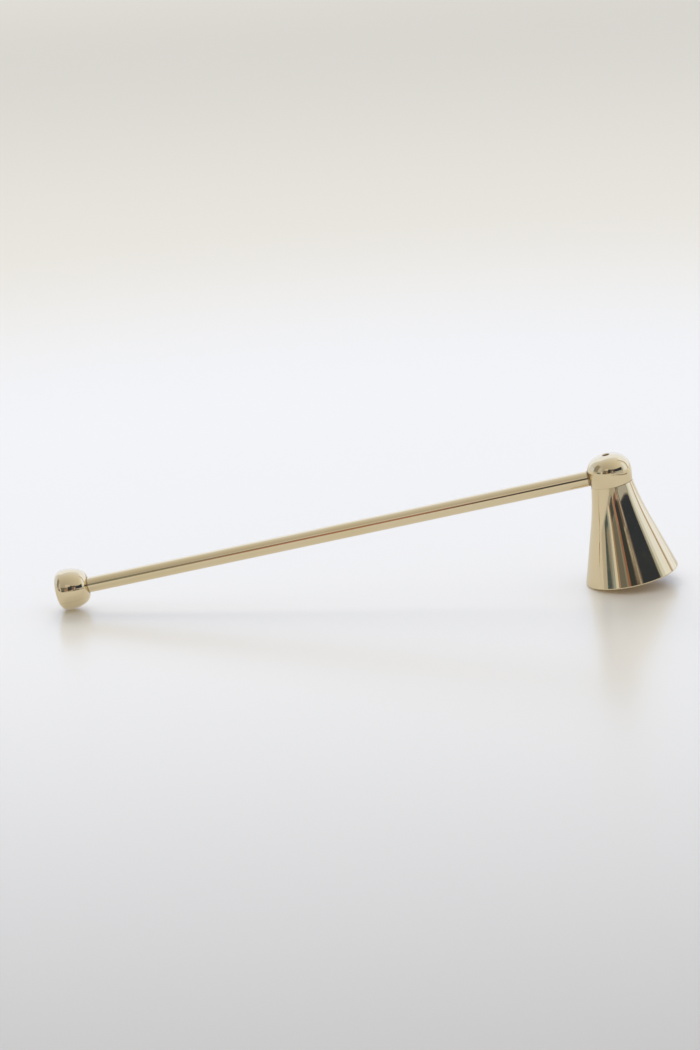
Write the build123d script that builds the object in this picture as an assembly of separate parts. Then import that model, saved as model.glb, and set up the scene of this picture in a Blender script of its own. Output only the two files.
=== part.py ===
from build123d import *
import os
from math import atan2, cos, degrees

# Candle snuffer of polished brass, resting as it is put down: the handle-side point
# of the bell's rim and the end knob both touch the table.
# Each piece is drawn in the snuffer's own working frame: Z is the bell's axis, the plane
# of the mouth is Z = 0 and the rod runs from the bell towards -X. All pieces are then
# tilted together until rim and knob touch Z = 0. Sizes are in millimetres.

# Bell
mouth_dia = 36.2
neck_dia = 16.1
bell_height = 37.35
bend_dia = 18.55  # where the straight cone would meet the line that leaves the neck
bend_drop = 8.1  # from the neck down to that point
bell_wall = 1.5
crown_thickness = 3.0
crown_corner = 1.5
rim_round = 0.4
rim_inner_round = 0.3

# Head, a crowned barrel with a domed top, flush with the bell's neck at its foot
head_swell = 0.45  # how far the widest ring stands out past the neck
ring_over_rod = 1.1  # the widest ring sits this much above the rod's axis
web_under_rod = 0.45
cap_over_rod = 4.89
cap_side_radius = 15.5  # side line above the widest ring
dome_radius = 15.5
head_corner = 6.2
apex_chamfer = 0.5
corner_room_share = 0.95  # the most of a barrel's side that the corner at its dome may take

# Rod
rod_dia = 6.0
reach = 215.3  # bell's axis to the end knob's widest ring
rod_past_axis = 4.5
spigot_dia = 4.0
spigot_length = 7.0
rod_chamfer = 0.3

# End knob, widest nearer its free end
knob_dia = 15.9
knob_to_tip = 4.85  # widest ring to the free end
knob_to_rod = 8.4  # widest ring to the top of the dome that meets the rod
knob_side_radius = 13.5
tip_dome_radius = 20.6
tip_corner = 3.3
rod_dome_radius = 17.6
rod_dome_corner = 4.2
seat_depth = 0.6  # the rod's shoulder below the top of the dome that meets it
seat_chamfer = 0.2

# Screw that clamps bell, head and rod together; its thread is drawn plain, at mean diameter
thread_mean_dia = 2.7
screw_length = 14.0
screw_head_dia = 5.5
screw_head_height = 2.0
slot_width = 0.8
slot_depth = 0.9
screw_tip_chamfer = 0.3
flat_washer_dia = 7.0
flat_washer_thickness = 0.5
lock_washer_dia = 6.2
lock_washer_thickness = 0.8
lock_washer_split = 0.8

# Clearances, and how far a cutting tool runs past the piece
fit_gap = 0.03
screw_gap = 0.3
end_gap = 0.5
overrun = 1.0

# Rounds in which the tilt at rest is worked out, each about ten times closer than the last
resting_steps = 8

# Sizes that follow from those above
rod_r = rod_dia / 2
rod_above_seam = web_under_rod + rod_r
rod_height = bell_height + rod_above_seam
head_dia = neck_dia + 2 * head_swell
ring_height = rod_height + ring_over_rod
apex_height = rod_height + rod_r + cap_over_rod
bend_height = bell_height - bend_drop
crown_underside = bell_height - crown_thickness
shoulder_x = knob_to_rod - seat_depth - reach
clear_r = thread_mean_dia / 2 + screw_gap
tapped_r = thread_mean_dia / 2 + fit_gap
cone_angle = atan2((mouth_dia - bend_dia) / 2, bend_height)
wall_level = bell_wall / cos(cone_angle)  # the wall as measured square to the bell's axis


def bell_side(inset):
    """Side line of the bell, mouth to neck, drawn in towards the axis by inset."""
    mouth = Vector(mouth_dia / 2 - inset, 0)
    bend = Vector(bend_dia / 2 - inset, bend_height)
    neck = Vector(neck_dia / 2 - inset, bell_height)
    arc_start = bend + (mouth - bend).normalized() * (neck - bend).length
    cone = Line(mouth, arc_start)
    flare = TangentArc(arc_start, neck, tangent=bend - mouth)
    return cone + flare + Polyline(neck, (0, bell_height), (0, 0), mouth)


def turned(outline):
    """Solid of revolution about Z from a closed outline drawn as radius and height."""
    return revolve(Plane.XZ * make_face(outline), axis=Axis.Z)


def spindle(dia, side_radius):
    """Barrel with pointed ends: its side is an arc of side_radius, dia across at Z = 0."""
    arc = Pos(dia / 2 - side_radius, 0) * Circle(side_radius)
    outer_half = Pos(side_radius, 0) * Rectangle(2 * side_radius, 2 * side_radius)
    return revolve(Plane.XZ * (arc & outer_half), axis=Axis.Z)


def corner_radius(wanted, dia, dome_height, sphere_radius):
    """The wanted corner between a barrel's side and its dome, kept above the widest ring."""
    sphere_drop = sphere_radius - dome_height
    room = (sphere_radius**2 - sphere_drop**2 - (dia / 2) ** 2) / (2 * sphere_radius - dia)
    return min(wanted, corner_room_share * room)


def level_bar(radius, x_low, x_high):
    """Round bar along the rod's axis, from x_low to x_high."""
    place = Pos((x_low + x_high) / 2, 0, rod_height) * Rot(0, 90, 0)
    return place * Cylinder(radius, x_high - x_low)


def upright_bar(radius, z_low, z_high):
    """Round bar along the bell's axis, from z_low to z_high."""
    return Pos(0, 0, (z_low + z_high) / 2) * Cylinder(radius, z_high - z_low)


def rings(solid):
    """The closed edges of a turned solid, the lowest first."""
    return solid.edges().filter_by(lambda edge: edge.is_closed).sort_by(Axis.Z)


def make_bell():
    """Hollow flared cone, closed at the neck by a thick crown with the screw's hole."""
    cavity = turned(bell_side(wall_level)) & upright_bar(mouth_dia, 0, crown_underside)
    cavity = fillet(rings(cavity)[-1], crown_corner)
    hole = upright_bar(clear_r, crown_underside - overrun, bell_height + overrun)
    bell = turned(bell_side(0)) - cavity - hole
    bell = fillet(rings(bell).group_by(Axis.Z)[0].sort_by(SortBy.LENGTH)[-1], rim_round)
    return fillet(rings(bell).group_by(Axis.Z)[0].sort_by(SortBy.LENGTH)[0], rim_inner_round)


def make_head():
    """Domed barrel on the crown, bored from the side for the rod and tapped through upright."""
    ring_drop = ring_height - bell_height
    foot_side_radius = (ring_drop**2 + head_swell**2) / (2 * head_swell)
    widest = Pos(0, 0, ring_height)
    dome = Pos(0, 0, apex_height - dome_radius) * Sphere(dome_radius)
    cap = widest * spindle(head_dia, cap_side_radius) & dome
    cap &= upright_bar(head_dia, ring_height, apex_height + overrun)
    cap_height = apex_height - ring_height
    corner = corner_radius(head_corner, head_dia, cap_height, dome_radius)
    cap = fillet(rings(cap)[-1], corner)
    foot = widest * spindle(head_dia, foot_side_radius)
    head = cap + (foot & upright_bar(head_dia, bell_height, ring_height))
    head -= level_bar(rod_r + fit_gap, -head_dia, rod_past_axis + end_gap)
    head -= upright_bar(clear_r, bell_height - overrun, rod_height)
    head -= upright_bar(tapped_r, rod_height, apex_height + overrun)
    mouth = Pos(0, 0, apex_height) * Cone(tapped_r, tapped_r + 2 * apex_chamfer, 2 * apex_chamfer)
    return head - mouth


def make_rod():
    """Straight round bar: cross hole for the screw at the head, spigot at the knob."""
    rod = level_bar(rod_r, shoulder_x, rod_past_axis)
    rod = chamfer(rod.edges().sort_by(Axis.X)[-1], rod_chamfer)
    rod -= upright_bar(clear_r, rod_height - rod_dia, rod_height + rod_dia)
    spigot = level_bar(spigot_dia / 2, shoulder_x - spigot_length, shoulder_x)
    spigot = chamfer(spigot.edges().sort_by(Axis.X)[0], rod_chamfer)
    return rod + spigot


def make_end_knob():
    """Crowned barrel with domed ends, bored for the rod's spigot and seating its shoulder."""
    knob = spindle(knob_dia, knob_side_radius)
    knob &= Pos(0, 0, tip_dome_radius - knob_to_tip) * Sphere(tip_dome_radius)
    knob &= Pos(0, 0, knob_to_rod - rod_dome_radius) * Sphere(rod_dome_radius)
    corner = corner_radius(tip_corner, knob_dia, knob_to_tip, tip_dome_radius)
    knob = fillet(rings(knob)[0], corner)
    corner = corner_radius(rod_dome_corner, knob_dia, knob_to_rod, rod_dome_radius)
    knob = fillet(rings(knob)[-1], corner)
    seat = knob_to_rod - seat_depth
    knob -= upright_bar(rod_r + fit_gap, seat, knob_to_rod + overrun)
    knob = chamfer(rings(knob)[-1], seat_chamfer)
    bore_end = seat - spigot_length - end_gap
    knob -= upright_bar(spigot_dia / 2 + fit_gap, bore_end, knob_to_rod)
    return Pos(-reach, 0, rod_height) * Rot(0, 90, 0) * knob


def make_clamp_screw():
    """Slotted cheese-head screw, up from inside the bell; its tip ends below the apex."""
    seat = crown_underside - flat_washer_thickness - lock_washer_thickness
    head = upright_bar(screw_head_dia / 2, seat - screw_head_height, seat)
    slot_place = Pos(0, 0, seat - screw_head_height)
    head -= slot_place * Box(2 * screw_head_dia, slot_width, 2 * slot_depth)
    shank = upright_bar(thread_mean_dia / 2, seat, seat + screw_length)
    shank = chamfer(rings(shank)[-1], screw_tip_chamfer)
    return head + shank


def make_flat_washer():
    """Plain ring under the crown."""
    bottom = crown_underside - flat_washer_thickness
    ring = upright_bar(flat_washer_dia / 2, bottom, crown_underside)
    return ring - upright_bar(clear_r, bottom - overrun, crown_underside + overrun)


def make_lock_washer():
    """Split spring ring between the screw's head and the flat washer."""
    top = crown_underside - flat_washer_thickness
    bottom = top - lock_washer_thickness
    ring = upright_bar(lock_washer_dia / 2, bottom, top)
    ring -= upright_bar(clear_r, bottom - overrun, top + overrun)
    split = Pos(lock_washer_dia / 2, 0, top) * Box(lock_washer_dia, lock_washer_split, 2 * top)
    return ring - split


def resting_place():
    """Tilt and lift that bring rim and knob onto Z = 0, found in ever smaller steps."""
    tilt = 0
    lift = 0
    for _ in range(resting_steps):
        tilted = Rot(0, -degrees(tilt), 0)
        rim_low = (tilted * pieces["bell"]).bounding_box().min.Z
        knob_low = (tilted * pieces["end_knob"]).bounding_box().min.Z
        tilt += (knob_low - rim_low) / (reach - mouth_dia / 2)
        lift = -rim_low
    return Pos(0, 0, lift) * Rot(0, -degrees(tilt), 0)


pieces = {
    "bell": make_bell(),
    "head": make_head(),
    "rod": make_rod(),
    "end_knob": make_end_knob(),
    "clamp_screw": make_clamp_screw(),
    "flat_washer": make_flat_washer(),
    "lock_washer": make_lock_washer(),
}
place = resting_place()
resting = {name: place * piece for name, piece in pieces.items()}
extent = Compound([*resting.values()]).bounding_box()
centred = Pos(-extent.center().X, 0, 0)

os.makedirs("parts", exist_ok=True)
for name, piece in resting.items():
    export_step(centred * piece, f"parts/{name}.step")
print(f"size {extent.size.X:.2f} x {extent.size.Y:.2f} x {extent.size.Z:.2f}, base {extent.min.Z:.3f}")
print(f"lift {place.position.Z:.4f}, tilt {-place.orientation.Y:.4f}, shift {centred.position.X:.4f}")
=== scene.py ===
from math import acos, asin, atan2, cos, pi, radians, sin, sqrt, tan

import bmesh
import bpy
import numpy as np
from mathutils import Matrix, Vector


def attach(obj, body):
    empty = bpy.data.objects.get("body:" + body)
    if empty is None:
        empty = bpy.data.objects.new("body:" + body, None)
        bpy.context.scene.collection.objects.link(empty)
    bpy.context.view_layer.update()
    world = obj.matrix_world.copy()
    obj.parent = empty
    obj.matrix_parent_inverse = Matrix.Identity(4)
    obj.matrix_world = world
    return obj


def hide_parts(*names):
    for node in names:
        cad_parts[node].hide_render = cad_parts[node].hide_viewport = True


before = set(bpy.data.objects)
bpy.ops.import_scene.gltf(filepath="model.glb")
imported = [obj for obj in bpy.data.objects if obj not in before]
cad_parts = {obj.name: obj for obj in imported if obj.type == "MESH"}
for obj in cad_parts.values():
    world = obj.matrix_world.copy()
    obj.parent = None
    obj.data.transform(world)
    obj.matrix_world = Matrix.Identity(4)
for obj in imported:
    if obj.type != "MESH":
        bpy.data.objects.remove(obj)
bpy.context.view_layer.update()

# Sizes in millimetres, in the snuffer's own frame: w runs up the bell's axis from the plane
# of the mouth, u runs along the rod towards the bell and v goes across. The snuffer lies
# tilted, so that the bell's rim and the end knob both touch the floor.
MM = 0.001
TILT = radians(9.3899)
LIFT = 2.8706
SHIFT = 103.2359

# Bell
MOUTH_R = 18.1
NECK_R = 8.05
BELL_HEIGHT = 37.35
BEND_R = 9.275
BEND_HEIGHT = 29.25
BELL_WALL = 1.5
CROWN_UNDERSIDE = 34.35
CROWN_CORNER = 1.5
RIM_ROUND = 0.4
RIM_INNER_ROUND = 0.3

# Rod
ROD_R = 3.0
ROD_HEIGHT = 40.8
ROD_PAST_AXIS = 4.5
ROD_CHAMFER = 0.3
SHOULDER_U = -207.5
SPIGOT_R = 2.0
SPIGOT_END_U = -214.5

# Head
HEAD_R = 8.5
RING_HEIGHT = 41.9
APEX_HEIGHT = 48.69
CAP_SIDE_RADIUS = 15.5
DOME_RADIUS = 15.5
HEAD_CORNER = 6.2
APEX_CHAMFER = 0.5

# End knob
KNOB_R = 7.95
KNOB_U = -215.3
KNOB_TO_TIP = 4.85
KNOB_TO_ROD = 8.4
KNOB_SIDE_RADIUS = 13.5
TIP_DOME_RADIUS = 20.6
TIP_CORNER = 3.3
ROD_DOME_RADIUS = 17.6
ROD_DOME_CORNER = 4.2
SEAT_CHAMFER = 0.2
KNOB_BORE_END_U = -215.0

# Clearances, fine edges, and how far a cutting tool runs past the piece
CLEAR_R = 1.65
FIT_GAP = 0.03
END_GAP = 0.5
EDGE_BREAK = 0.025
OVERRUN = 6.0

# Thread: mean radius on the screw and in the head, depth either way from it, the share of
# its wave that is left between flat crests, and how far down in the head its rows reach
THREAD_R = 1.35
TAPPED_R = THREAD_R + FIT_GAP
THREAD_DEPTH = 0.13
THREAD_PITCH = 0.5
THREAD_CREST = 0.8
TAPPED_END = ROD_HEIGHT + ROD_R - 0.5

# Screw and washers
SCREW_SEAT = 33.05
SCREW_TIP = 47.05
SCREW_HEAD_R = 2.75
SCREW_HEAD_HEIGHT = 2.0
SCREW_HEAD_ROUND = 0.25
SCREW_TIP_CHAMFER = 0.3
SLOT_WIDTH = 0.8
SLOT_DEPTH = 0.9
FLAT_WASHER_R = 3.5
FLAT_WASHER_BOTTOM = 33.85
LOCK_WASHER_R = 3.1
LOCK_WASHER_SPLIT = 0.8
WASHER_ROUND = 0.07

# Fineness of the meshes: steps all the way round a piece, and angle of a step along an arc
ROUND_STEPS = 288
SMALL_ROUND_STEPS = 96
ARC_STEP = radians(2.0)
CORNER_STEP = radians(5.0)
FOOT_STEP = radians(0.8)
FLARE_STEP = radians(0.6)

# Steps of the small roundings
RIM_STEPS = 12
RIM_INNER_STEPS = 10
SCREW_STEPS = 6
EDGE_STEPS = 3

# Millimetres between the rows of straight sides, and room left beside an edge in a dome
WALL_ROW = 1.0
CROWN_ROW = 2.0
ROD_ROW = 3.0
THREAD_ROW = 0.0625
SINK_ROOM = 0.1
LIP_ROOM = 0.15

# Points that hold the shading straight stand this far from a rounding, in millimetres;
# points this close are merged, in metres; faces that meet at more than this are sharp
HOLD = 0.02
MERGE = 2e-7
SHARP_ANGLE = radians(24)

# A corner takes its outline's normal when it is this close to the outline, in millimetres,
# and both normals point the same way, by this cosine; no length is taken as less than TINY
ON_OUTLINE = 0.01
SAME_WAY = 0.99
TINY = 1e-9


def to_row(u, v, w):
    """Row-frame place in metres of (u, v, w): turned by the tilt, lifted and shifted."""
    x = u * cos(TILT) - w * sin(TILT) + SHIFT
    z = u * sin(TILT) + w * cos(TILT) + LIFT
    return np.stack([x, v + 0 * x, z], axis=-1) * MM


def arc(centre, radius, start, end, step=ARC_STEP):
    """Points centre + radius (cos a, sin a), with a from start to end."""
    a = np.linspace(start, end, max(int(abs(end - start) / step) + 2, 4))
    return np.stack([centre[0] + radius * np.cos(a), centre[1] + radius * np.sin(a)], axis=-1)


def line(start, end, step):
    """Even points from start to end, both ends left out."""
    start, end = np.asarray(start, float), np.asarray(end, float)
    count = max(int(np.ceil(np.linalg.norm(end - start) / step)), 1)
    return start + (end - start) * (np.arange(1, count) / count)[:, None]


def bearing(centre, point):
    """Angle at which point is seen from centre."""
    return atan2(point[1] - centre[1], point[0] - centre[0])


def rounded(before, corner, after, radius, steps):
    """Arc of the radius tangent to both straight sides of a corner, in steps parts, with a
    point HOLD away on either side that keeps the shading of the sides straight."""
    before, corner, after = (np.asarray(p, float) for p in (before, corner, after))
    back = (before - corner) / np.linalg.norm(before - corner)
    ahead = (after - corner) / np.linalg.norm(after - corner)
    half = acos(np.clip(back @ ahead, -1, 1)) / 2
    centre = corner + (back + ahead) / np.linalg.norm(back + ahead) * radius / sin(half)
    tangent = radius / tan(half)
    first = bearing(centre, corner + back * tangent)
    turn = bearing(centre, corner + ahead * tangent) - first
    turn = (turn + pi) % (2 * pi) - pi
    return np.concatenate([
        [corner + back * (tangent + HOLD)],
        arc(centre, radius, first, first + turn, abs(turn) / steps),
        [corner + ahead * (tangent + HOLD)],
    ])


def barrel_end(widest_r, side_radius, dome_radius, corner_radius, pole):
    """Side arc, corner arc inside both, dome arc: from the widest ring at 0 up to the pole."""
    side, dome = np.array([widest_r - side_radius, 0]), np.array([0, pole - dome_radius])
    to_side, to_dome = side_radius - corner_radius, dome_radius - corner_radius
    apart = np.linalg.norm(dome - side)
    along = (apart**2 + to_side**2 - to_dome**2) / (2 * apart)
    unit = (dome - side) / apart
    square = np.array([-unit[1], unit[0]])
    corner = side + unit * along + square * sqrt(to_side**2 - along**2)
    if corner[0] < 0:
        corner = side + unit * along - square * sqrt(to_side**2 - along**2)
    low, high = bearing(side, corner), bearing(dome, corner)
    return np.concatenate([
        arc(side, side_radius, 0, low)[:-1],
        arc(corner, corner_radius, low, high)[:-1],
        arc(dome, dome_radius, high, pi / 2),
    ])


def bell_side(inset):
    """Corner of the mouth, start, centre and radius of the flare, and neck, all inset."""
    mouth = np.array([MOUTH_R - inset, 0])
    bend = np.array([BEND_R - inset, BEND_HEIGHT])
    neck = np.array([NECK_R - inset, BELL_HEIGHT])
    upper = np.linalg.norm(neck - bend)
    cone = (bend - mouth) / np.linalg.norm(bend - mouth)
    start = bend - cone * upper
    half = acos(np.clip(cone @ (neck - bend) / upper, -1, 1)) / 2
    radius = upper / tan(half)
    return mouth, start, start + np.array([cone[1], -cone[0]]) * radius, radius, neck


def bell_outline():
    """Closed outline: rim, cone, flare, crown, the screw's hole, and the inside back down."""
    mouth, start, centre, radius, neck = bell_side(0)
    level_wall = BELL_WALL / cos(atan2(MOUTH_R - BEND_R, BEND_HEIGHT))
    in_mouth, in_start, in_centre, in_radius, _ = bell_side(level_wall)
    corner_w = CROWN_UNDERSIDE - CROWN_CORNER
    reach = (in_radius + CROWN_CORNER) ** 2 - (corner_w - in_centre[1]) ** 2
    corner = np.array([in_centre[0] - sqrt(reach), corner_w])
    rim = rounded(in_mouth, mouth, start, RIM_ROUND, RIM_STEPS)
    in_rim = rounded(in_start, in_mouth, mouth, RIM_INNER_ROUND, RIM_INNER_STEPS)
    flare = arc(centre, radius, bearing(centre, start), bearing(centre, neck), FLARE_STEP)
    in_flare = arc(
        in_centre, in_radius, bearing(in_centre, corner), bearing(in_centre, in_start), FLARE_STEP
    )
    neck_break = rounded(flare[-2], neck, (0, BELL_HEIGHT), EDGE_BREAK, EDGE_STEPS)
    hole_top, hole_foot = (CLEAR_R, BELL_HEIGHT), (CLEAR_R, CROWN_UNDERSIDE)
    inner_corner = arc(corner, CROWN_CORNER, pi / 2, bearing(corner, in_centre), CORNER_STEP)
    return np.concatenate([
        rim, line(rim[-1], start, WALL_ROW), flare[:-1],
        neck_break, line(neck_break[-1], hole_top, CROWN_ROW), [hole_top], [hole_foot],
        line(hole_foot, inner_corner[0], WALL_ROW), inner_corner, in_flare[1:],
        line(in_start, in_rim[0], WALL_ROW), in_rim,
    ])


def threaded(start_w, end_w, radius):
    """Close rows between two heights for a thread, and its depth, fading in and out."""
    rows = line((radius, start_w), (radius, end_w), THREAD_ROW)
    inward = np.minimum(np.abs(rows[:, 1] - start_w), np.abs(rows[:, 1] - end_w))
    return rows, THREAD_DEPTH * np.clip(inward / THREAD_PITCH, 0, 1)


def with_thread(before, rows, depth, after):
    """Outline of the parts before a thread, its rows and the parts after; thread depths."""
    outline = np.concatenate([*before, rows, *after])
    first = sum(len(part) for part in before)
    return outline, np.pad(depth, (first, len(outline) - first - len(depth)))


def head_outline():
    """Closed outline: foot, lower side, cap, countersink and tapped hole; thread depths."""
    rise = RING_HEIGHT - BELL_HEIGHT
    swell = HEAD_R - NECK_R
    foot_radius = (rise**2 + swell**2) / (2 * swell)
    foot_centre = (HEAD_R - foot_radius, RING_HEIGHT)
    foot_side = arc(foot_centre, foot_radius, -asin(rise / foot_radius), 0, FOOT_STEP)
    foot_break = rounded((0, BELL_HEIGHT), foot_side[0], foot_side[1], EDGE_BREAK, EDGE_STEPS)
    cap = barrel_end(HEAD_R, CAP_SIDE_RADIUS, DOME_RADIUS, HEAD_CORNER, APEX_HEIGHT - RING_HEIGHT)
    cap = cap + np.array([0, RING_HEIGHT])
    sink = TAPPED_R + APEX_CHAMFER
    mouth_r = sink - sink**2 / (2 * DOME_RADIUS)
    mouth = (mouth_r, APEX_HEIGHT - mouth_r**2 / (2 * DOME_RADIUS))
    cap = cap[1:][cap[1:, 0] > mouth_r + SINK_ROOM]
    sink_foot = (TAPPED_R, APEX_HEIGHT - APEX_CHAMFER)
    sink_break = rounded(cap[-1], mouth, sink_foot, EDGE_BREAK, EDGE_STEPS)
    rows, depth = threaded(sink_foot[1], TAPPED_END, TAPPED_R)
    return with_thread(
        [foot_break, foot_side[1:], cap, sink_break, [sink_foot]], rows, depth,
        [[(TAPPED_R, ROD_HEIGHT), (CLEAR_R, ROD_HEIGHT), (CLEAR_R, BELL_HEIGHT)]],
    )


def rod_outline():
    """From the spigot's end to the end inside the head, with the shoulder between."""
    return np.concatenate([
        [(0, SPIGOT_END_U), (SPIGOT_R - ROD_CHAMFER, SPIGOT_END_U)],
        [(SPIGOT_R, SPIGOT_END_U + ROD_CHAMFER), (SPIGOT_R, SHOULDER_U), (ROD_R, SHOULDER_U)],
        line((ROD_R, SHOULDER_U), (ROD_R, ROD_PAST_AXIS - ROD_CHAMFER), ROD_ROW),
        [(ROD_R, ROD_PAST_AXIS - ROD_CHAMFER), (ROD_R - ROD_CHAMFER, ROD_PAST_AXIS)],
        [(0, ROD_PAST_AXIS)],
    ])


def knob_outline():
    """From the free end's pole over the widest ring to the rod's seat, bore and its end."""
    tip = barrel_end(KNOB_R, KNOB_SIDE_RADIUS, TIP_DOME_RADIUS, TIP_CORNER, KNOB_TO_TIP)
    top = barrel_end(KNOB_R, KNOB_SIDE_RADIUS, ROD_DOME_RADIUS, ROD_DOME_CORNER, KNOB_TO_ROD)
    bore, spigot = ROD_R + FIT_GAP, SPIGOT_R + FIT_GAP
    lip_r = bore + SEAT_CHAMFER
    lip = KNOB_TO_ROD - lip_r**2 / (2 * ROD_DOME_RADIUS)
    seat_u = SHOULDER_U - KNOB_U
    bore_end = KNOB_BORE_END_U - KNOB_U
    top = top[1:][top[1:, 0] > lip_r + LIP_ROOM]
    lip_foot = (bore, lip - SEAT_CHAMFER)
    outline = np.concatenate([
        tip[::-1] * (1, -1), top,
        rounded(top[-1], (lip_r, lip), lip_foot, EDGE_BREAK, EDGE_STEPS),
        [lip_foot, (bore, seat_u), (spigot, seat_u), (spigot, bore_end), (0, bore_end)],
    ])
    return outline + np.array([0, KNOB_U])


def screw_outline():
    """From under the slotted head over the seat and the threaded shank to the tip."""
    foot = SCREW_SEAT - SCREW_HEAD_HEIGHT
    tip_r, chamfer_w = THREAD_R - SCREW_TIP_CHAMFER, SCREW_TIP - SCREW_TIP_CHAMFER
    rows, depth = threaded(CROWN_UNDERSIDE, chamfer_w, THREAD_R)
    edge, top_edge = (SCREW_HEAD_R, foot), (SCREW_HEAD_R, SCREW_SEAT)
    before = [
        [(0, foot)], rounded((0, foot), edge, top_edge, SCREW_HEAD_ROUND, SCREW_STEPS),
        rounded(edge, top_edge, (0, SCREW_SEAT), EDGE_BREAK, EDGE_STEPS),
        [(THREAD_R, SCREW_SEAT), (THREAD_R, CROWN_UNDERSIDE)],
    ]
    after = [[(THREAD_R, chamfer_w), (tip_r, SCREW_TIP), (0, SCREW_TIP)]]
    return with_thread(before, rows, depth, after)


def ring_outline(inner, outer, low, high):
    """Closed rectangle with rounded corners, the section of a washer."""
    corners = [(outer, low), (outer, high), (inner, high), (inner, low)]
    return np.concatenate([
        rounded(corners[i - 1], corners[i], corners[(i + 1) % 4], WASHER_ROUND, EDGE_STEPS)
        for i in range(4)
    ])


def merged_mesh(name, points, faces):
    """Mesh of the points and faces, doubled points merged and faces looking outwards."""
    mesh = bpy.data.meshes.new(name)
    mesh.from_pydata(points.reshape(-1, 3).tolist(), [], faces)
    work = bmesh.new()
    work.from_mesh(mesh)
    bmesh.ops.remove_doubles(work, verts=work.verts, dist=MERGE)
    bmesh.ops.recalc_face_normals(work, faces=work.faces)
    work.to_mesh(mesh)
    work.free()
    return mesh


def grid_mesh(name, points, rows_close, columns_close):
    """Quads between the neighbours of a grid of points."""
    rows, columns = points.shape[:2]
    i = np.arange(rows if rows_close else rows - 1)[:, None]
    j = np.arange(columns if columns_close else columns - 1)[None, :]
    here, above = i * columns, (i + 1) % rows * columns
    left, right = j, (j + 1) % columns
    faces = np.stack([here + left, here + right, above + right, above + left], axis=-1)
    return merged_mesh(name, points, faces.reshape(-1, 4).tolist())


def turned(name, outline, level=False, ring=False, steps=ROUND_STEPS, depth=0.0):
    """Outline (r, h) turned by a: (r cos a, r sin a, h), or (h, r sin a, rod + r cos a).

    A thread changes r by its depth times a triangle wave of h / pitch - a / 2 pi.
    """
    a = np.arange(steps) * (2 * pi / steps)
    h = outline[:, 1:] + 0 * a
    turns = (h / THREAD_PITCH - a / (2 * pi)) % 1
    wave = np.clip(4 * np.abs(turns - 0.5) - 1, -THREAD_CREST, THREAD_CREST)
    r = outline[:, :1] + wave * np.reshape(depth, (-1, 1))
    if level:
        points = to_row(h, r * np.sin(a), ROD_HEIGHT + r * np.cos(a))
    else:
        points = to_row(r * np.cos(a), r * np.sin(a), h)
    return grid_mesh(name, points, ring, True)


def split_ring(name, outline, split):
    """Section (r, h) carried round by a from one face of a parallel split to the other."""
    share = np.linspace(0, 1, SMALL_ROUND_STEPS)[:, None]
    edge = np.arcsin(split / 2 / outline[:, 0])
    a = edge + (2 * pi - 2 * edge) * share
    points = to_row(outline[:, 0] * np.cos(a), outline[:, 0] * np.sin(a), outline[:, 1] + 0 * a)
    ends = [np.broadcast_to(p.mean(axis=0), p.shape) for p in (points[0], points[-1])]
    points = np.concatenate([ends[:1], points, ends[1:]])
    return grid_mesh(name, points, False, True)


def box_mesh(low, high):
    """Closed box between two corners, for cutting a slot."""
    u, v, w = np.meshgrid(*np.stack([low, high], axis=-1).astype(float), indexing="ij")
    faces = [(0, 1, 3, 2), (4, 6, 7, 5), (0, 4, 5, 1), (2, 3, 7, 6), (0, 2, 6, 4), (1, 5, 7, 3)]
    return merged_mesh("slot", to_row(u, v, w), faces)


def bar_mesh(radius, low, high, level):
    """Closed round bar, for cutting a bore along the rod or a hole along the bell's axis."""
    return turned("bar", np.array([(0, low), (radius, low), (radius, high), (0, high)]), level)


def cut(mesh, cutter):
    """The mesh less the cutter's solid."""
    whole, tool = (bpy.data.objects.new("cutting", m) for m in (mesh, cutter))
    for thing in (whole, tool):
        bpy.context.scene.collection.objects.link(thing)
    boolean = whole.modifiers.new("cut", "BOOLEAN")
    boolean.object, boolean.solver = tool, "EXACT"
    graph = bpy.context.evaluated_depsgraph_get()
    result = bpy.data.meshes.new_from_object(whole.evaluated_get(graph))
    for thing in (whole, tool):
        bpy.data.objects.remove(thing)
    return result


def smooth(mesh):
    """Smooth shading with sharp edges where faces meet at more than SHARP_ANGLE."""
    mesh.shade_smooth()
    mesh.set_sharp_from_angle(angle=SHARP_ANGLE)


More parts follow.
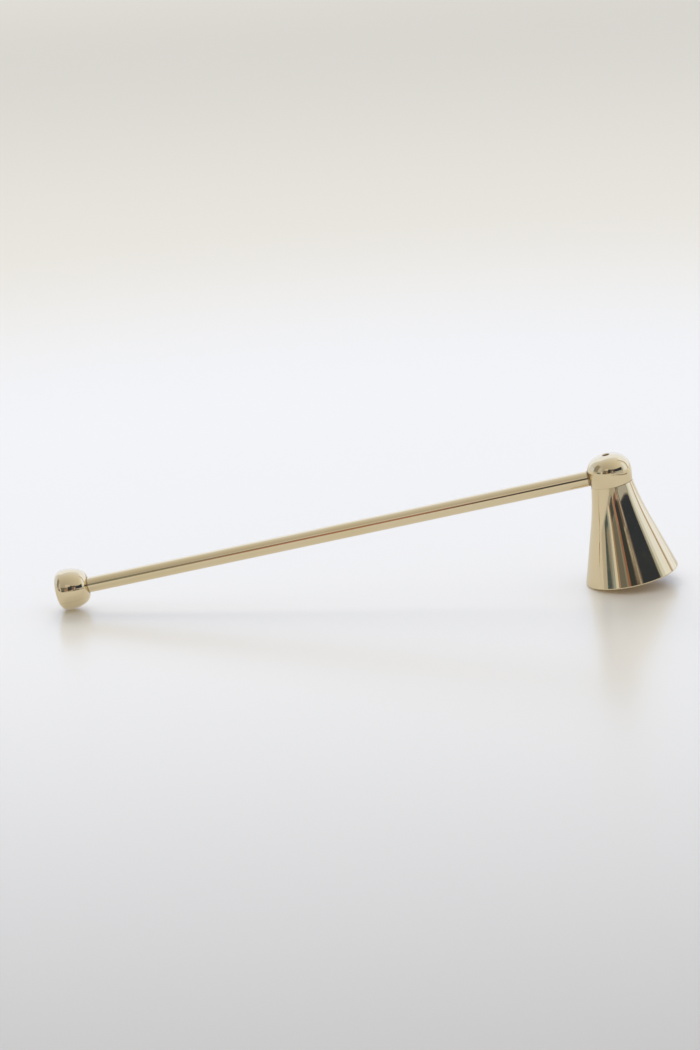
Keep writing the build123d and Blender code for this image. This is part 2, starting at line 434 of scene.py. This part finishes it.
def exact_normals(mesh, outline):
    """Corner normals of a cut, turned mesh taken from its outline, so that a mirror finish
    stays even where faces were cut: the nearest outline side's slope, turned to the corner.
    Corners further than ON_OUTLINE from it, or facing another way, keep their own."""
    smooth(mesh)
    own = np.empty(len(mesh.loops) * 3)
    mesh.corner_normals.foreach_get("vector", own)
    own = own.reshape(-1, 3)
    vertex = np.empty(len(mesh.loops), dtype=int)
    mesh.loops.foreach_get("vertex_index", vertex)
    place = np.empty(len(mesh.vertices) * 3)
    mesh.vertices.foreach_get("co", place)
    x, v, z = (place.reshape(-1, 3) / MM - (SHIFT, 0, LIFT)).T
    u, w = x * cos(TILT) + z * sin(TILT), z * cos(TILT) - x * sin(TILT)
    at = np.stack([np.hypot(u, v), w], axis=-1)
    start, side = outline[:-1], np.diff(outline, axis=0)
    length = np.maximum(np.linalg.norm(side, axis=1), TINY)
    side = side / length[:, None]
    square = np.stack([side[:, 1], -side[:, 0]], axis=-1)
    between = square[1:] + square[:-1]
    between /= np.maximum(np.linalg.norm(between, axis=1), TINY)[:, None]
    first, last = np.concatenate([square[:1], between]), np.concatenate([between, square[-1:]])
    offset = at[:, None] - start
    along = np.clip((offset * side).sum(-1), 0, length)
    away = np.linalg.norm(offset - along[..., None] * side, axis=-1)
    pick = away.argmin(axis=1)
    share = (along / length)[np.arange(len(at)), pick][:, None]
    slope = first[pick] * (1 - share) + last[pick] * share
    slope /= np.maximum(np.linalg.norm(slope, axis=1), TINY)[:, None]
    round_r = np.maximum(at[:, 0], TINY)
    exact = to_row(slope[:, 0] * u / round_r, slope[:, 0] * v / round_r, slope[:, 1])
    exact = (exact / MM - (SHIFT, 0, LIFT))[vertex]
    fits = (away.min(axis=1) < ON_OUTLINE)[vertex] & ((exact * own).sum(-1) > SAME_WAY)
    own[fits] = exact[fits]
    mesh.normals_split_custom_set(own.tolist())


class Shade:
    """A socket of a material, used in Python expressions that add its Math nodes."""

    def __init__(self, tree, socket=None):
        self.tree, self.socket = tree, socket

    def node(self, kind, settings=None, sockets=None, output=0):
        """Adds any node: settings first, then values or links of its sockets."""
        made = self.tree.nodes.new(kind)
        for key, value in (settings or {}).items():
            setattr(made, key, value)
        for key, value in (sockets or {}).items():
            if isinstance(value, Shade):
                self.tree.links.new(value.socket, made.inputs[key])
            else:
                made.inputs[key].default_value = value
        return Shade(self.tree, made.outputs[output])

    def maths(self, operation, *others):
        """Math node of this and the others, in order."""
        sockets = dict(enumerate((self, *others)))
        return self.node("ShaderNodeMath", {"operation": operation}, sockets)

    def __add__(self, other):
        return self.maths("ADD", other)

    def __sub__(self, other):
        return self.maths("SUBTRACT", other)

    def __mul__(self, other):
        return self.maths("MULTIPLY", other)

    def __rsub__(self, other):
        return self.maths("MULTIPLY_ADD", -1.0, other)

    __radd__ = __add__

    def step(self, low, high):
        """0 below low to 1 above high, smoothly; low may be the greater."""
        limits = {"Value": self, "From Min": low, "From Max": high}
        return self.node("ShaderNodeMapRange", {"interpolation_type": "SMOOTHSTEP"}, limits)

    def vector(self, x, y, z):
        """Vector of three values, for a noise."""
        return self.node("ShaderNodeCombineXYZ", None, {0: x, 1: y, 2: z})

    def noise(self, scale, detail=2.0, roughness=0.5):
        """Even noise, about 0 to 1, of this vector; scale is in grains to its unit."""
        sockets = {"Vector": self, "Scale": scale, "Detail": detail, "Roughness": roughness}
        return self.node("ShaderNodeTexNoise", None, sockets, "Fac")

    def mix(self, colour, other):
        """Colour where this is 0, other where it is 1."""
        sockets = {"Factor": self, 6: colour, 7: other}
        return self.node("ShaderNodeMix", {"data_type": "RGBA"}, sockets, 2)

    def split(self):
        """The three parts of this vector."""
        return [self.node("ShaderNodeSeparateXYZ", None, {0: self}, axis) for axis in "XYZ"]

    def blend(self, share, shader, other):
        """Shader where the share is 0, other where it is 1."""
        return self.node("ShaderNodeMixShader", None, {0: share, 1: shader, 2: other})

    def bump(self, height):
        """Normal that follows a height in millimetres."""
        sockets = {"Height": height, "Distance": MM, "Strength": 1.0}
        return self.node("ShaderNodeBump", None, sockets)

    def surface(self, shader):
        """Links a shader to the material's surface."""
        output = self.tree.nodes["Material Output"]
        self.tree.links.new(shader.socket, output.inputs["Surface"])


def new_material(name):
    """Material with a Principled shader; returns it, a Shade to build on, and the shader."""
    material = bpy.data.materials.new(name)
    material.use_nodes = True
    tree = material.node_tree
    return material, Shade(tree), tree.nodes["Principled BSDF"]


def feed(shade, shader, **sockets):
    """Values or links into the shader's sockets; an underscore in a name is a space."""
    for name, value in sockets.items():
        socket = shader.inputs[name.replace("_", " ")]
        if isinstance(value, Shade):
            shade.tree.links.new(value.socket, socket)
        else:
            socket.default_value = value


# Colours of the metals
BRASS = (0.82, 0.685, 0.45, 1)
DEEP_BRASS = (0.80, 0.66, 0.41, 1)
WARM_BRASS = (0.80, 0.60, 0.32, 1)
# Dark brown of tarnish and soot, also painted into the creases as shade
TARNISH_AND_SHADE = (0.16, 0.09, 0.05, 1)
RAW_BRASS = (0.66, 0.50, 0.27, 1)
STEEL = (0.52, 0.52, 0.53, 1)
DARK_STEEL = (0.30, 0.29, 0.28, 1)


def own_place(shade):
    """Place in millimetres in the snuffer's own frame, as vector and as u, v, w."""
    vector = shade.node("ShaderNodeTexCoord", output="Object")
    vector = shade.node(
        "ShaderNodeVectorMath", {"operation": "MULTIPLY_ADD"},
        {0: vector, 1: (1 / MM,) * 3, 2: (-SHIFT, 0, -LIFT)},
    )
    x, v, z = vector.split()
    u = x * cos(TILT) + z * sin(TILT)
    w = z * cos(TILT) - x * sin(TILT)
    return vector, u, v, w


def radius_of(a, b):
    """Distance from an axis, of two Shades that run square to it."""
    return (a * a + b * b).maths("SQRT")


# Painted shade in the creases, in pairs of millimetres where it is nil and full. Joint line:
# off the line, and along u, where it is fainter on the rod's side
SEAM_FADE = (0.30, 0.06)
SEAM_FAR_SIDE = (0.0, 4.0)
SEAM_LEAST, SEAM_MORE = 0.1, 0.6

# Round the rod's socket in the head: off a ring just outside the rod, and both ends along u
SOCKET_FADE = (1.5, 0.3)
SOCKET_RING = ROD_R + 0.3
SOCKET_START = (-HEAD_R - 0.3, -HEAD_R + 0.1)
SOCKET_END = (-1.0, -3.0)
SOCKET_SHARE = 0.85

# Round the rod's seat in the knob: off the rod's surface, and both ends along u
SEAT_FADE = (0.5, 0.0)
SEAT_START = (SHOULDER_U + 0.9, SHOULDER_U + 0.1)
SEAT_END = (SHOULDER_U - 2.0, SHOULDER_U - 1.0)

# In the apex hole: off the axis, and above the joint line only
HOLE_FADE = (TAPPED_R + 0.17, TAPPED_R + 0.04)
HOLE_START = (BELL_HEIGHT, BELL_HEIGHT + 4.0)

# How patchy the painted crease shade is, how much of its colour shows, what it adds to roughness
PATCH_LEAST, PATCH_MORE = 0.7, 0.3
CREASE_SHADE_SHARE = 0.9
CREASE_DULLS = 0.3

# Roughness of the polish, and what smudges, wipe marks and hair scratches add to it
POLISH = 0.045
SMUDGED, WIPED, SCRATCHED = 0.05, 0.03, 0.05

# Heights in millimetres of waves, buffing lines and hair scratches
WAVE_HEIGHT, LINE_HEIGHT, HAIR_HEIGHT = 0.006, 0.00006, -0.0001

# Inside of the bell: how far under the outer surface it begins and over what depth it fades
# in, how warm and dull it is, and what its turning rings add to roughness and height
INSIDE_DEPTH, INSIDE_FADE = 0.5, (0.0, 0.35)
INSIDE_WARMTH, INSIDE_DULLS = 0.8, 0.14
RINGS_DULL, RINGS_HEIGHT = 0.12, 0.012

# Soot inside the bell: the noise where it is nil and full, what each millimetre up adds to
# that noise, how much of it shows and what it adds to roughness
SOOT_FADE = (0.5, 1.1)
SOOT_RISE = 0.012
SOOT_SHARE, SOOT_DULLS = 0.4, 0.15


def crease_shade(place, u, v, w, level):
    """Painted shade, 0 to 1, on the joint line, round the rod's two ends and in the apex hole."""
    seam = (w - BELL_HEIGHT).maths("ABSOLUTE").step(*SEAM_FADE)
    seam = seam * (u.step(*SEAM_FAR_SIDE) * SEAM_MORE + SEAM_LEAST)
    rod_r = radius_of(v, w - ROD_HEIGHT)
    socket = (rod_r - SOCKET_RING).maths("ABSOLUTE").step(*SOCKET_FADE) * SOCKET_SHARE
    socket = socket * u.step(*SOCKET_START) * u.step(*SOCKET_END)
    seat = (rod_r - ROD_R).maths("ABSOLUTE").step(*SEAT_FADE)
    seat = seat * u.step(*SEAT_START) * u.step(*SEAT_END)
    patch = place.noise(0.8, detail=3).step(0.3, 0.7) * PATCH_MORE + PATCH_LEAST
    crease = seam.maths("MAXIMUM", socket).maths("MAXIMUM", seat) * patch
    if not level:
        hole = radius_of(u, v).step(*HOLE_FADE) * w.step(*HOLE_START)
        crease = crease.maths("MAXIMUM", hole)
    return crease


def polished_brass(name, level=False, inside=False):
    """Mirror-polished brass: faint buffing lines, wipe marks, creases dulled and given painted
    shade.
    """
    material, shade, shader = new_material(name)
    place, u, v, w = own_place(shade)
    if level:
        radius, along, angle = radius_of(v, w - ROD_HEIGHT), u, v.maths("ARCTAN2", w - ROD_HEIGHT)
    else:
        radius, along, angle = radius_of(u, v), w, v.maths("ARCTAN2", u)
    smudge = place.noise(0.09, detail=4, roughness=0.6).step(0.46, 0.68)
    wiped = shade.vector(u * 0.35 + v * 0.2, v * 0.35 - w * 0.25, w * 1.6 + u * 0.4)
    wiped = wiped.noise(0.6, detail=3).step(0.5, 0.75)
    lines = shade.vector(along * 9, angle * 0.7, radius * 9).noise(1.0)
    hairs = shade.vector(u * 0.5 + w * 6, v * 6 - u * 0.8, w * 0.6 - v * 5)
    hairs = hairs.noise(1.0, detail=1).step(0.70, 0.78)
    waves = place.noise(0.16, detail=1)
    colour = place.noise(0.05, detail=3).step(0.35, 0.75).mix(BRASS, DEEP_BRASS)
    roughness = POLISH + smudge * SMUDGED + wiped * WIPED + hairs * SCRATCHED
    height = waves * WAVE_HEIGHT + lines * LINE_HEIGHT + hairs * HAIR_HEIGHT
    if inside:
        side = MOUTH_R - INSIDE_DEPTH - w * ((MOUTH_R - BEND_R) / BEND_HEIGHT)
        within = (side - radius).step(*INSIDE_FADE)
        rings = shade.vector(w * 3.2, radius * 3.2, angle * 0.15).noise(1.0, detail=3)
        soot = (place.noise(0.12, detail=4) + w * SOOT_RISE).step(*SOOT_FADE) * within
        colour = (within * INSIDE_WARMTH).mix(colour, WARM_BRASS)
        colour = (soot * SOOT_SHARE).mix(colour, TARNISH_AND_SHADE)
        roughness = roughness + within * (INSIDE_DULLS + rings * RINGS_DULL) + soot * SOOT_DULLS
        height = height + rings * within * RINGS_HEIGHT
    # Painted shade: the creases, the rod's ends and the apex hole darkened towards tarnish brown
    crease = crease_shade(place, u, v, w, level)
    colour = (crease * CREASE_SHADE_SHARE).mix(colour, TARNISH_AND_SHADE)
    roughness = roughness + crease * CREASE_DULLS
    feed(shade, shader, Base_Color=colour, Roughness=roughness, Metallic=1.0,
         Normal=shade.bump(height))
    return material


# Plain machined metal: roughness, what turning marks and the dull film add to it, how much
# of the film's colour shows, and the height of the marks in millimetres
MACHINED = 0.22
MARKS_DULL, FILM_DULLS = 0.15, 0.12
FILM_SHARE = 0.5
MARKS_HEIGHT = 0.008


def turned_metal(name, colour, film_colour, fineness):
    """Plain machined metal for the screw and washers: turning marks and a dull film."""
    material, shade, shader = new_material(name)
    place, u, v, w = own_place(shade)
    marks = shade.vector(radius_of(u, v) * fineness, w * fineness, 0.0).noise(1.0)
    film = place.noise(0.9, detail=4).step(0.35, 0.75)
    roughness = MACHINED + marks * MARKS_DULL + film * FILM_DULLS
    shown = (film * FILM_SHARE).mix(colour, film_colour)
    feed(shade, shader, Base_Color=shown, Roughness=roughness, Metallic=1.0,
         Normal=shade.bump(marks * MARKS_HEIGHT))
    return material


def piece(name, mesh, node, material):
    """One piece of the snuffer in place of its CAD node, on the frame's one body."""
    mesh.name = name
    mesh.materials.clear()
    mesh.materials.append(material)
    thing = bpy.data.objects.new(name, mesh)
    bpy.context.scene.collection.objects.link(thing)
    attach(thing, "root")
    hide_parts(node)


bell_mesh = turned("bell_skin", bell_outline(), ring=True)
smooth(bell_mesh)
piece("bell_skin", bell_mesh, "bell",
      polished_brass("bell brass", inside=True))

head_line, head_depth = head_outline()
head_mesh = turned("head_skin", head_line, ring=True, depth=head_depth)
head_mesh = cut(head_mesh, bar_mesh(
    ROD_R + FIT_GAP, -HEAD_R - OVERRUN, ROD_PAST_AXIS + END_GAP, level=True
))
exact_normals(head_mesh, head_line)
piece("head_skin", head_mesh, "head",
      polished_brass("head brass"))

rod_mesh = turned("rod_skin", rod_outline(), level=True)
rod_mesh = cut(rod_mesh, bar_mesh(
    CLEAR_R, ROD_HEIGHT - OVERRUN, ROD_HEIGHT + OVERRUN, level=False
))
smooth(rod_mesh)
piece("rod_skin", rod_mesh, "rod",
      polished_brass("rod brass", level=True))

knob_mesh = turned("knob_skin", knob_outline(), level=True)
smooth(knob_mesh)
piece("knob_skin", knob_mesh, "end_knob",
      polished_brass("knob brass", level=True))

screw_line, screw_depth = screw_outline()
screw_mesh = turned("screw_skin", screw_line, steps=SMALL_ROUND_STEPS, depth=screw_depth)
screw_foot = SCREW_SEAT - SCREW_HEAD_HEIGHT
screw_mesh = cut(screw_mesh, box_mesh(
    (-2 * SCREW_HEAD_R, -SLOT_WIDTH / 2, screw_foot - SLOT_DEPTH),
    (2 * SCREW_HEAD_R, SLOT_WIDTH / 2, screw_foot + SLOT_DEPTH),
))
smooth(screw_mesh)
piece("screw_skin", screw_mesh, "clamp_screw",
      turned_metal("screw brass", RAW_BRASS, TARNISH_AND_SHADE, fineness=6.0))

flat_mesh = turned(
    "flat_washer_skin", ring_outline(CLEAR_R, FLAT_WASHER_R, FLAT_WASHER_BOTTOM, CROWN_UNDERSIDE),
    ring=True, steps=SMALL_ROUND_STEPS,
)
smooth(flat_mesh)
piece("flat_washer_skin", flat_mesh, "flat_washer",
      turned_metal("washer brass", RAW_BRASS, TARNISH_AND_SHADE, fineness=4.0))

lock_mesh = split_ring(
    "lock_washer_skin", ring_outline(CLEAR_R, LOCK_WASHER_R, SCREW_SEAT, FLAT_WASHER_BOTTOM),
    LOCK_WASHER_SPLIT,
)
smooth(lock_mesh)
piece("lock_washer_skin", lock_mesh, "lock_washer",
      turned_metal("spring steel", STEEL, DARK_STEEL, fineness=5.0))


# Camera at the photograph's angle, place in metres. The focal length is in pixels of a
# picture PICTURE_HEIGHT high, and the sensor is in millimetres
VIEW_AZIMUTH = radians(4.447)
VIEW_DOWN = radians(15.5747)
VIEW_ROLL = radians(-4.1202)
VIEW_PLACE = Vector((0.093754, -1.259615, 0.380284))
FOCAL_PIXELS = 3400
PICTURE_HEIGHT = 1050
SENSOR = 36.0

forward = Vector((
    -sin(VIEW_AZIMUTH) * cos(VIEW_DOWN), cos(VIEW_AZIMUTH) * cos(VIEW_DOWN), -sin(VIEW_DOWN)
))
level_right = Vector((cos(VIEW_AZIMUTH), sin(VIEW_AZIMUTH), 0))
level_up = level_right.cross(forward)
right = level_right * cos(VIEW_ROLL) + level_up * sin(VIEW_ROLL)
up = level_up * cos(VIEW_ROLL) - level_right * sin(VIEW_ROLL)
camera_data = bpy.data.cameras.new("camera")
camera_data.lens = FOCAL_PIXELS / PICTURE_HEIGHT * SENSOR
camera_data.sensor_width = SENSOR
camera = bpy.data.objects.new("camera", camera_data)
turn = Matrix((right, up, -forward)).transposed().to_4x4()
camera.matrix_world = Matrix.Translation(VIEW_PLACE) @ turn
bpy.context.scene.collection.objects.link(camera)
bpy.context.scene.camera = camera


def staged(name, mesh, material):
    """An object that isn't part of the snuffer, such as the floor or a card."""
    mesh.materials.append(material)
    thing = bpy.data.objects.new(name, mesh)
    bpy.context.scene.collection.objects.link(thing)
    return thing


# Floor: a pale table top, with painted shade that darkens it towards the camera, and painted
# shade far behind that evens out the lamp's brighter light there. Round the snuffer it is a soft
# mirror, further off it is matt. The metal sees the floor in front of the snuffer as an even,
# dull surface with a glow of its own, painted light that fades the snuffer's shadow in its
# reflections. The fades are in metres
FLOOR_HALF = 5.0
FLOOR_MIDDLE = (0.845, 0.808, 0.735, 1)
FLOOR_FRONT_SHADE, FRONT_FADE = (0.50, 0.473, 0.428, 1), (-0.60, 0.0)
FLOOR_BACK_SHADE, BACK_FADE = (0.56, 0.54, 0.49, 1), (0.15, 1.8)
FLOOR_ROUGHNESS, MIRROR_FADE = 0.22, (0.80, 0.30)
FLOOR_DULL, DULL_FADE = (0.68, 0.67, 0.65, 1), (0.05, 0.3)
FLOOR_PAINTED_GLOW, GLOW_SHARE = (0.77, 0.765, 0.745, 1), 0.45

floor_material, shade, shader = new_material("pale floor")
across, far, _ = shade.node("ShaderNodeTexCoord", output="Object").split()
# Painted shade: the floor's colour is darker towards the camera and far behind
pale = far.step(*FRONT_FADE).mix(FLOOR_FRONT_SHADE, FLOOR_MIDDLE)
pale = far.step(*BACK_FADE).mix(pale, FLOOR_BACK_SHADE)
feed(shade, shader, Base_Color=pale, Roughness=FLOOR_ROUGHNESS)
matt = shade.node("ShaderNodeBsdfDiffuse", None, {"Color": pale})
mirror = Shade(shade.tree, shader.outputs[0])
near = radius_of(across, far).step(*MIRROR_FADE)
shown = shade.blend(near, matt, mirror)
dull = shade.node("ShaderNodeBsdfDiffuse", None, {"Color": FLOOR_DULL})
# Painted light: the floor that the metal sees glows, so the snuffer's shadow there looks fainter
glow = shade.node("ShaderNodeEmission", None, {"Color": FLOOR_PAINTED_GLOW, "Strength": 1.0})
dull = shade.blend(GLOW_SHARE, dull, glow)
seen = shade.node("ShaderNodeLightPath", output="Is Camera Ray")
seen = seen.maths("MAXIMUM", far.step(*DULL_FADE))
shade.surface(shade.blend(seen, dull, shown))
floor_mesh = bpy.data.meshes.new("floor")
floor_mesh.from_pydata(
    [(x * FLOOR_HALF, y * FLOOR_HALF, 0) for x, y in ((-1, -1), (1, -1), (1, 1), (-1, 1))],
    [], [(0, 1, 2, 3)],
)
staged("floor", floor_mesh, floor_material)

# Cards that only the metal and the floor's mirror see. Each line holds lowest and highest
# azimuth and lowest and highest height, in degrees as seen from the bell, with azimuth 0 on
# the camera's side and 90 past the bell, then colour, distance in metres, and how many
# degrees in from its edges the card fades
CARDS = (
    (21, 72, 10.5, 28, (0.036, 0.046, 0.070), 2.60, 1.0),
    (22, 73, 27, 30, (0.28, 0.19, 0.12), 2.55, 1.5),
    (71, 79, 4, 27, (0.40, 0.43, 0.45), 2.60, 1.5),
    (12, 77, 0.5, 11, (0.46, 0.48, 0.52), 2.70, 0.5),
    (10, 34, 0.5, 7.5, (0.18, 0.165, 0.16), 2.55, 1.5),
    (33, 76, -1.0, 3.7, (0.50, 0.51, 0.55), 0.172, 0.5),
    (10, 100, -4.5, -2.0, (0.22, 0.18, 0.16), 0.17, 1.0),
    (77, 89, -2, 42, (0.74, 0.82, 0.92), 2.80, 1.0),
    (88, 112, -2, 42, (0.92, 1.02, 1.24), 2.80, 1.0),
    (111, 119, -2, 62, (0.48, 0.42, 0.36), 2.80, 1.0),
    (118, 228, 0, 57, (0.97, 1.08, 1.36), 3.20, 6.0),
    (-9, 7, 4.5, 32, (0.048, 0.055, 0.064), 2.40, 1.0),
    (6, 22, 19, 31, (0.13, 0.10, 0.09), 2.50, 1.5),
    (6, 13, 8, 19, (0.15, 0.12, 0.11), 2.40, 1.0),
    (-15, -6, 4.0, 14, (0.46, 0.21, 0.155), 6.00, 1.2),
    (-15, -6, 13.0, 22, (0.32, 0.165, 0.125), 6.05, 1.2),
    (-8.5, 1, 3.8, 7.5, (0.18, 0.12, 0.11), 2.38, 1.0),
    (1.5, 10.5, 5.0, 8.0, (0.46, 0.27, 0.22), 2.38, 1.0),
    (12, 15, 5, 20, (0.19, 0.15, 0.13), 2.44, 1.0),
    (14, 19, 5, 20, (0.42, 0.40, 0.40), 2.44, 1.2),
    (18, 22, 5, 26, (0.20, 0.15, 0.15), 2.50, 1.2),
    (-34, -14, 1.6, 9, (0.080, 0.090, 0.105), 3.00, 1.0),
    (-34, -14, 8.2, 24, (0.175, 0.175, 0.17), 3.00, 1.0),
    (-19, -14, 3.2, 18, (0.26, 0.28, 0.26), 2.95, 1.0),
    (-38, -33, 0.8, 14, (0.40, 0.28, 0.20), 1.20, 1.0),
    (-45, -37, 0.3, 16, (0.72, 0.73, 0.72), 1.40, 1.0),
    (-51, -44, 0.2, 7.5, (0.34, 0.42, 0.48), 1.50, 1.2),
    (-67, -50, 0.2, 8.5, (0.08, 0.115, 0.14), 1.50, 1.2),
    (-61, -50, 4, 10, (0.31, 0.30, 0.28), 1.45, 1.2),
    (-28, -6, 25, 40, (0.66, 0.63, 0.62), 1.05, 3.0),
    (-66, -40, 9, 44, (0.56, 0.56, 0.58), 1.55, 5.0),
    (-100, -62, 5, 50, (0.29, 0.285, 0.265), 1.90, 9.0),
    (-125, -92, 0, 24, (0.72, 0.82, 1.02), 1.60, 3.0),
)

# Degrees between a card's columns, its lowest place above the floor, and the bell's middle
CARD_STEP = 3.0
CARD_LOWEST = 0.001
SEEN_FROM = (0.0985, 0.0, 0.030)


def card(azimuth_low, azimuth_high, low, high, colour, distance, fade):
    """Upright strip on a circle about the bell: point + d (sin a, -cos a, tan e), shown
    where the four edges are at least the fade away and see-through beyond the edges."""
    count = max(int((azimuth_high - azimuth_low) / CARD_STEP) + 2, 2)
    a = np.radians(np.linspace(azimuth_low, azimuth_high, count))[None, :]
    e = np.radians([low, high])[:, None]
    points = np.stack([np.sin(a) + 0 * e, -np.cos(a) + 0 * e, np.tan(e) + 0 * a], axis=-1)
    points = points * distance + SEEN_FROM
    points[..., 2] = np.maximum(points[..., 2], CARD_LOWEST)
    material, shade, _ = new_material("card")
    x, y, z = shade.node("ShaderNodeTexCoord", output="Object").split()
    x, y, z = x - SEEN_FROM[0], y - SEEN_FROM[1], z - SEEN_FROM[2]
    middle = radians(azimuth_low + azimuth_high) / 2
    across, ahead = x * cos(middle) + y * sin(middle), x * sin(middle) - y * cos(middle)
    azimuth = across.maths("ARCTAN2", ahead)
    height = z.maths("ARCTAN2", distance)
    soft, half = radians(fade), radians(azimuth_high - azimuth_low) / 2
    shown = azimuth.maths("ABSOLUTE").step(half, half - soft)
    shown = shown * height.step(radians(low), radians(low) + soft)
    shown = shown * height.step(radians(high), radians(high) - soft)
    light = shade.node("ShaderNodeEmission", None, {"Color": (*colour, 1), "Strength": 1.0})
    clear = shade.node("ShaderNodeBsdfTransparent")
    shade.surface(shade.blend(shown, clear, light))
    thing = staged("card", grid_mesh("card", points, False, False), material)
    thing.visible_camera = thing.visible_diffuse = thing.visible_shadow = False


for settings in CARDS:
    card(*settings)

# World: soft light, more of it behind the snuffer and past the bell, and cooler behind. The
# camera sees a pale backdrop
LIGHT_LEVEL = 0.73
MORE_PAST_BELL, MORE_BEHIND, LESS_ABOVE = 0.14, 0.25, 0.04
WARM_LIGHT = (1.0, 0.98, 0.93, 1)
COOL_LIGHT, COOL_FADE = (0.96, 1.06, 1.30, 1), (-0.3, 1.0)
BACKDROP = (0.87, 0.87, 0.87, 1)

world = bpy.data.worlds.new("soft room")
bpy.context.scene.world = world
world.use_nodes = True
shade = Shade(world.node_tree)
x, y, z = shade.node("ShaderNodeTexCoord", output="Generated").split()
level = LIGHT_LEVEL + x * MORE_PAST_BELL + y * MORE_BEHIND - z * LESS_ABOVE
seen = shade.node("ShaderNodeLightPath", output="Is Camera Ray")
tint = seen.mix(y.step(*COOL_FADE).mix(WARM_LIGHT, COOL_LIGHT), BACKDROP)
strength = level * (1 - seen) + seen
background = world.node_tree.nodes["Background"]
world.node_tree.links.new(tint.socket, background.inputs["Color"])
world.node_tree.links.new(strength.socket, background.inputs["Strength"])

# Lamp: large and soft, high behind the snuffer and aimed at its middle, not mirrored
LAMP_PLACE = Vector((-0.6, 5.0, 3.2))
LAMP_SIZE = 4.5
LAMP_WATTS = 215

lamp_data = bpy.data.lights.new("window lamp", "AREA")
lamp_data.shape, lamp_data.size, lamp_data.energy = "DISK", LAMP_SIZE, LAMP_WATTS
lamp = bpy.data.objects.new("window lamp", lamp_data)
lamp.location = LAMP_PLACE
lamp.rotation_euler = (-LAMP_PLACE).to_track_quat("-Z", "Y").to_euler()
lamp.visible_glossy = False
bpy.context.scene.collection.objects.link(lamp)

bpy.context.scene.view_settings.view_transform = "Standard"
